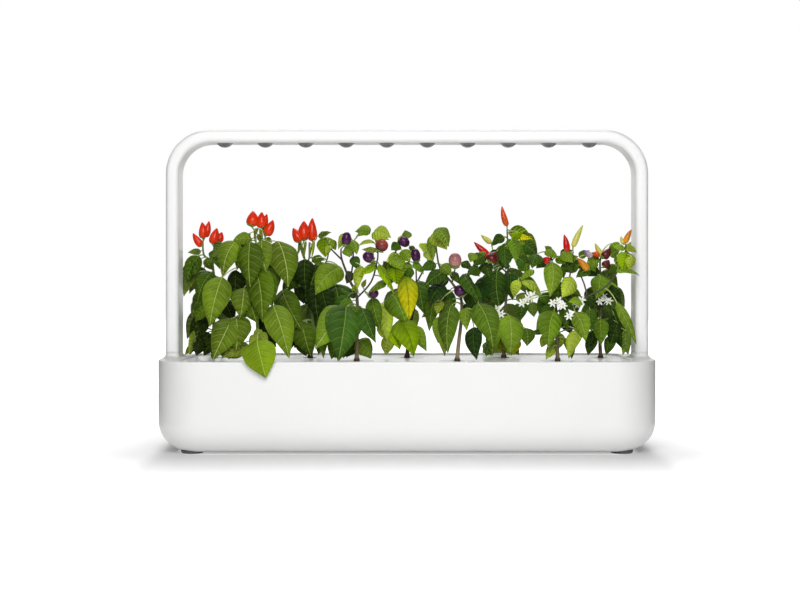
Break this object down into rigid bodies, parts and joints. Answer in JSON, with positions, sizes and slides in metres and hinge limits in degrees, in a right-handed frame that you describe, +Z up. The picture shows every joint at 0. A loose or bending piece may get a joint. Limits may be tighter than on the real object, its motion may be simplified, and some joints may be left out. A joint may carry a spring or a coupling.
{
  "type": "countertop hydroponic garden",
  "caption": "Countertop hydroponic garden: a white water tank with a lift-out tray of planted pods, under a lamp arch that stands in sockets at the tank's ends.",
  "frame": {"origin": "centre of the footprint, on the plane the four feet stand on", "axes": "+Z up, +X along the tank to the viewer's right, the front faces -Y"},
  "size_m": [0.61, 0.204, 0.398],
  "materials": {
    "white_shell": "satin gloss",
    "white_tray": "gloss",
    "float_white": "satin",
    "arch_white": "satin gloss",
    "cover_white": "matte",
    "smoke_lens": "smoked, polished",
    "lamp_board": "white solder mask",
    "driver_board": "green solder mask",
    "inlet_black": "matte",
    "button_white": "satin gloss",
    "foot_rubber": "matte",
    "pod_white": "satin",
    "lid_white": "satin",
    "soil": "damp, coarse",
    "plant_green": "leaf"
  },
  "bodies": {
    "tank": {"tank": "white_shell", "foot_1": "foot_rubber", "foot_2": "foot_rubber", "foot_3": "foot_rubber", "foot_4": "foot_rubber"},
    "tray": {"tray": "white_tray"},
    "pod_1": {"pod_cup_1": "pod_white", "soil_1": "soil", "pod_lid_1": "lid_white", "plant_1": "plant_green"},
    "pod_2": {"pod_cup_2": "pod_white", "soil_2": "soil", "pod_lid_2": "lid_white", "plant_2": "plant_green"},
    "pod_3": {"pod_cup_3": "pod_white", "soil_3": "soil", "pod_lid_3": "lid_white", "plant_3": "plant_green"},
    "pod_4": {"pod_cup_4": "pod_white", "soil_4": "soil", "pod_lid_4": "lid_white", "plant_4": "plant_green"},
    "pod_5": {"pod_cup_5": "pod_white", "soil_5": "soil", "pod_lid_5": "lid_white", "plant_5": "plant_green"},
    "pod_6": {"pod_cup_6": "pod_white", "soil_6": "soil", "pod_lid_6": "lid_white", "plant_6": "plant_green"},
    "pod_7": {"pod_cup_7": "pod_white", "soil_7": "soil", "pod_lid_7": "lid_white", "plant_7": "plant_green"},
    "pod_8": {"pod_cup_8": "pod_white", "soil_8": "soil", "pod_lid_8": "lid_white", "plant_8": "plant_green"},
    "pod_9": {"pod_cup_9": "pod_white", "soil_9": "soil", "pod_lid_9": "lid_white", "plant_9": "plant_green"},
    "float": {"float": "float_white"},
    "lamp": {"lamp_arch": "arch_white", "lamp_cover": "cover_white", "lens_strip": "smoke_lens", "led_board": "lamp_board", "driver_board": "driver_board", "power_inlet": "inlet_black"},
    "power_button": {"power_button": "button_white"}
  },
  "joints": [
    {"name": "tray_lift", "type": "slide", "parent": "tank", "child": "tray", "axis": [0, 0, 1], "range_m": [0, 0.055]},
    {"name": "lamp_lift", "type": "slide", "parent": "tank", "child": "lamp", "axis": [0, 0, 1], "range_m": [0, 0.036]},
    {"name": "button_press", "type": "slide", "parent": "lamp", "child": "power_button", "axis": [0, -1, 0], "range_m": [0, 0.0012], "stiffness_N_per_m": 400},
    {"name": "float_rise", "type": "slide", "parent": "tray", "child": "float", "axis": [0, 0, 1], "range_m": [0, 0.02]},
    {"name": "pod_1_lift", "type": "slide", "parent": "tray", "child": "pod_1", "axis": [0, 0, 1], "range_m": [0, 0.052]},
    {"name": "pod_2_lift", "type": "slide", "parent": "tray", "child": "pod_2", "axis": [0, 0, 1], "range_m": [0, 0.052]},
    {"name": "pod_3_lift", "type": "slide", "parent": "tray", "child": "pod_3", "axis": [0, 0, 1], "range_m": [0, 0.052]},
    {"name": "pod_4_lift", "type": "slide", "parent": "tray", "child": "pod_4", "axis": [0, 0, 1], "range_m": [0, 0.052]},
    {"name": "pod_5_lift", "type": "slide", "parent": "tray", "child": "pod_5", "axis": [0, 0, 1], "range_m": [0, 0.052]},
    {"name": "pod_6_lift", "type": "slide", "parent": "tray", "child": "pod_6", "axis": [0, 0, 1], "range_m": [0, 0.052]},
    {"name": "pod_7_lift", "type": "slide", "parent": "tray", "child": "pod_7", "axis": [0, 0, 1], "range_m": [0, 0.052]},
    {"name": "pod_8_lift", "type": "slide", "parent": "tray", "child": "pod_8", "axis": [0, 0, 1], "range_m": [0, 0.052]},
    {"name": "pod_9_lift", "type": "slide", "parent": "tray", "child": "pod_9", "axis": [0, 0, 1], "range_m": [0, 0.052]}
  ]
}
